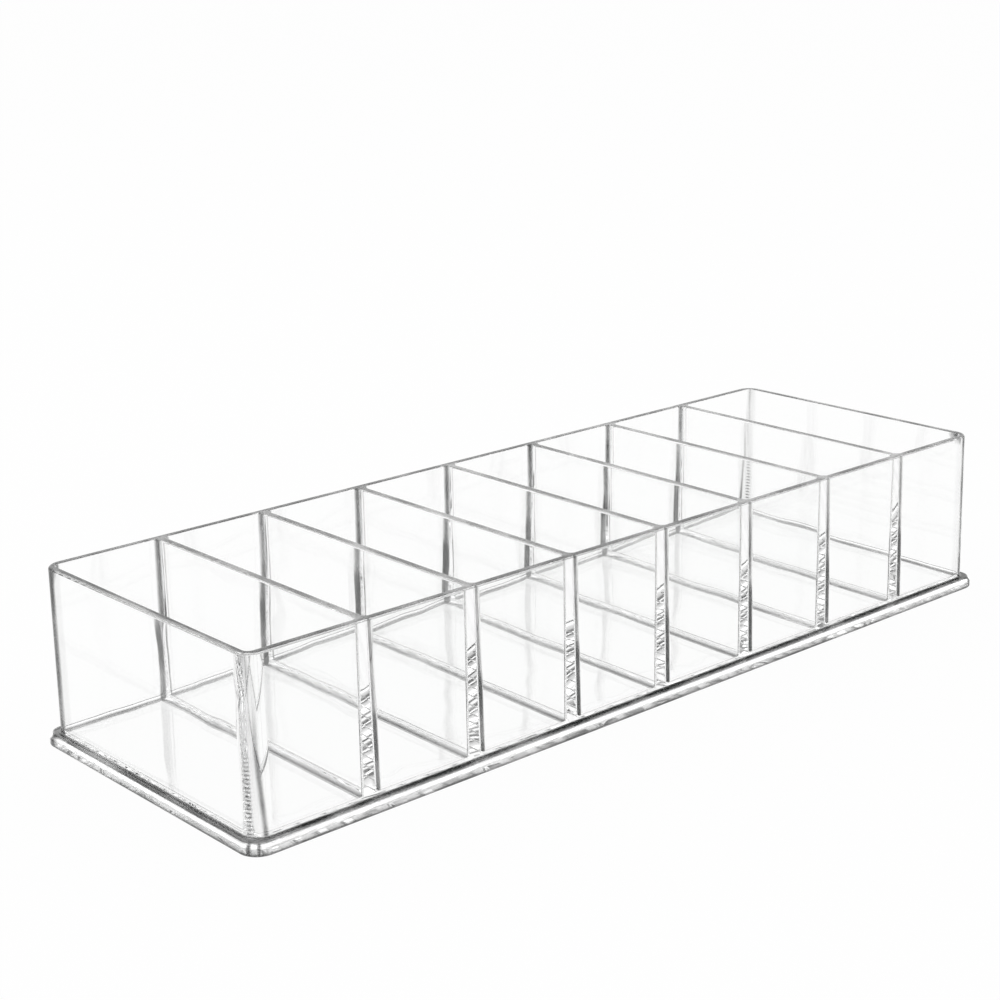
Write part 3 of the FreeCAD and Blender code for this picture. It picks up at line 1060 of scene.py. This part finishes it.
def studio_world():
    look = stage_look()
    world = bpy.data.worlds.new("studio")
    bpy.context.scene.world = world
    world.use_nodes = True
    nodes, links = world.node_tree.nodes, world.node_tree.links
    seen_sky = nodes["Background"]
    light = nodes.new("ShaderNodeBackground")
    light.inputs["Color"].default_value = (1, 1, 1, 1)
    light.inputs["Strength"].default_value = look.daylight
    place = nodes.new("ShaderNodeTexCoord")
    split = nodes.new("ShaderNodeSeparateXYZ")
    links.new(place.outputs["Generated"], split.inputs[0])
    ramp = nodes.new("ShaderNodeValToRGB")
    dark_from, dark_to = math.sin(look.dark_from), math.sin(look.dark_to)
    stops = ramp.color_ramp.elements
    stops[0].position, stops[0].color = dark_from, (*look.pale, 1)
    stops[1].position, stops[1].color = dark_to + BAND_END, (*look.pale, 1)
    for position in (dark_from + BAND_START, dark_to):
        stops.new(position).color = (*look.dark, 1)
    links.new(split.outputs["Z"], ramp.inputs["Fac"])
    seen, path = seen_directly(nodes, links)
    blank = nodes.new("ShaderNodeMix")
    blank.data_type = "RGBA"
    links.new(path.outputs["Is Camera Ray"], blank.inputs["Factor"])
    links.new(ramp.outputs["Color"], blank.inputs["A"])
    blank.inputs["B"].default_value = (*look.pale, 1)
    links.new(blank.outputs["Result"], seen_sky.inputs["Color"])
    mix = nodes.new("ShaderNodeMixShader")
    links.new(seen, mix.inputs["Fac"])
    links.new(light.outputs[0], mix.inputs[1])
    links.new(seen_sky.outputs[0], mix.inputs[2])
    links.new(mix.outputs[0], nodes["World Output"].inputs["Surface"])


def overhead_lamp():
    look = stage_look()
    data = bpy.data.lights.new("softbox", "AREA")
    data.shape = "RECTANGLE"
    data.size, data.size_y = LAMP_SIZE
    data.energy = look.lamp_watts
    lamp = bpy.data.objects.new("softbox", data)
    lamp.location = LAMP_PLACE
    lamp.rotation_mode = "QUATERNION"
    lamp.rotation_quaternion = lamp.location.to_track_quat("Z", "Y")
    bpy.context.scene.collection.objects.link(lamp)


def camera():
    look = stage_look()
    data = bpy.data.cameras.new("camera")
    data.lens = look.lens
    data.sensor_width = SENSOR
    data.clip_start, data.clip_end = CLIP
    eye = bpy.data.objects.new("camera", data)
    axes = Matrix((Vector(CAMERA_RIGHT), -Vector(CAMERA_DOWN),
                   -Vector(CAMERA_AHEAD))).transposed()
    eye.matrix_world = Matrix.Translation(look.camera_place) @ axes.to_4x4()
    bpy.context.scene.collection.objects.link(eye)
    bpy.context.scene.camera = eye


class ORGANIZER_PT_panel(Panel):
    """Lists the operators, and the sizes, painted shades and colours that they use"""

    bl_label = "Vanity Organizer"
    bl_space_type = "VIEW_3D"
    bl_region_type = "UI"
    bl_category = "Organizer"

    def draw(self, context):
        scene = context.scene
        for operator in OPERATORS:
            self.layout.operator(operator.bl_idname)
        for settings in (scene.organizer_sizes, scene.organizer_tones, scene.organizer_plastic,
                         scene.organizer_stage):
            box = self.layout.box()
            for name in settings.__annotations__:
                box.prop(settings, name)


OPERATORS = (ORGANIZER_OT_base_tray, ORGANIZER_OT_wall_frame, ORGANIZER_OT_dividers,
             ORGANIZER_OT_stage)
CLASSES = (OrganizerSizes, PaintedEdgeShades, PlasticFinishAndPaintedLight, StageLook, *OPERATORS, ORGANIZER_PT_panel)


def register():
    for cls in CLASSES:
        bpy.utils.register_class(cls)
    bpy.types.Scene.organizer_sizes = PointerProperty(type=OrganizerSizes)
    bpy.types.Scene.organizer_tones = PointerProperty(type=PaintedEdgeShades)
    bpy.types.Scene.organizer_plastic = PointerProperty(type=PlasticFinishAndPaintedLight)
    bpy.types.Scene.organizer_stage = PointerProperty(type=StageLook)


def unregister():
    del bpy.types.Scene.organizer_stage
    del bpy.types.Scene.organizer_plastic
    del bpy.types.Scene.organizer_tones
    del bpy.types.Scene.organizer_sizes
    for cls in reversed(CLASSES):
        bpy.utils.unregister_class(cls)


def main():
    register()
    bpy.ops.organizer.base_tray()
    bpy.ops.organizer.wall_frame()
    bpy.ops.organizer.dividers()
    bpy.ops.organizer.stage()


if __name__ == "__main__":
    main()
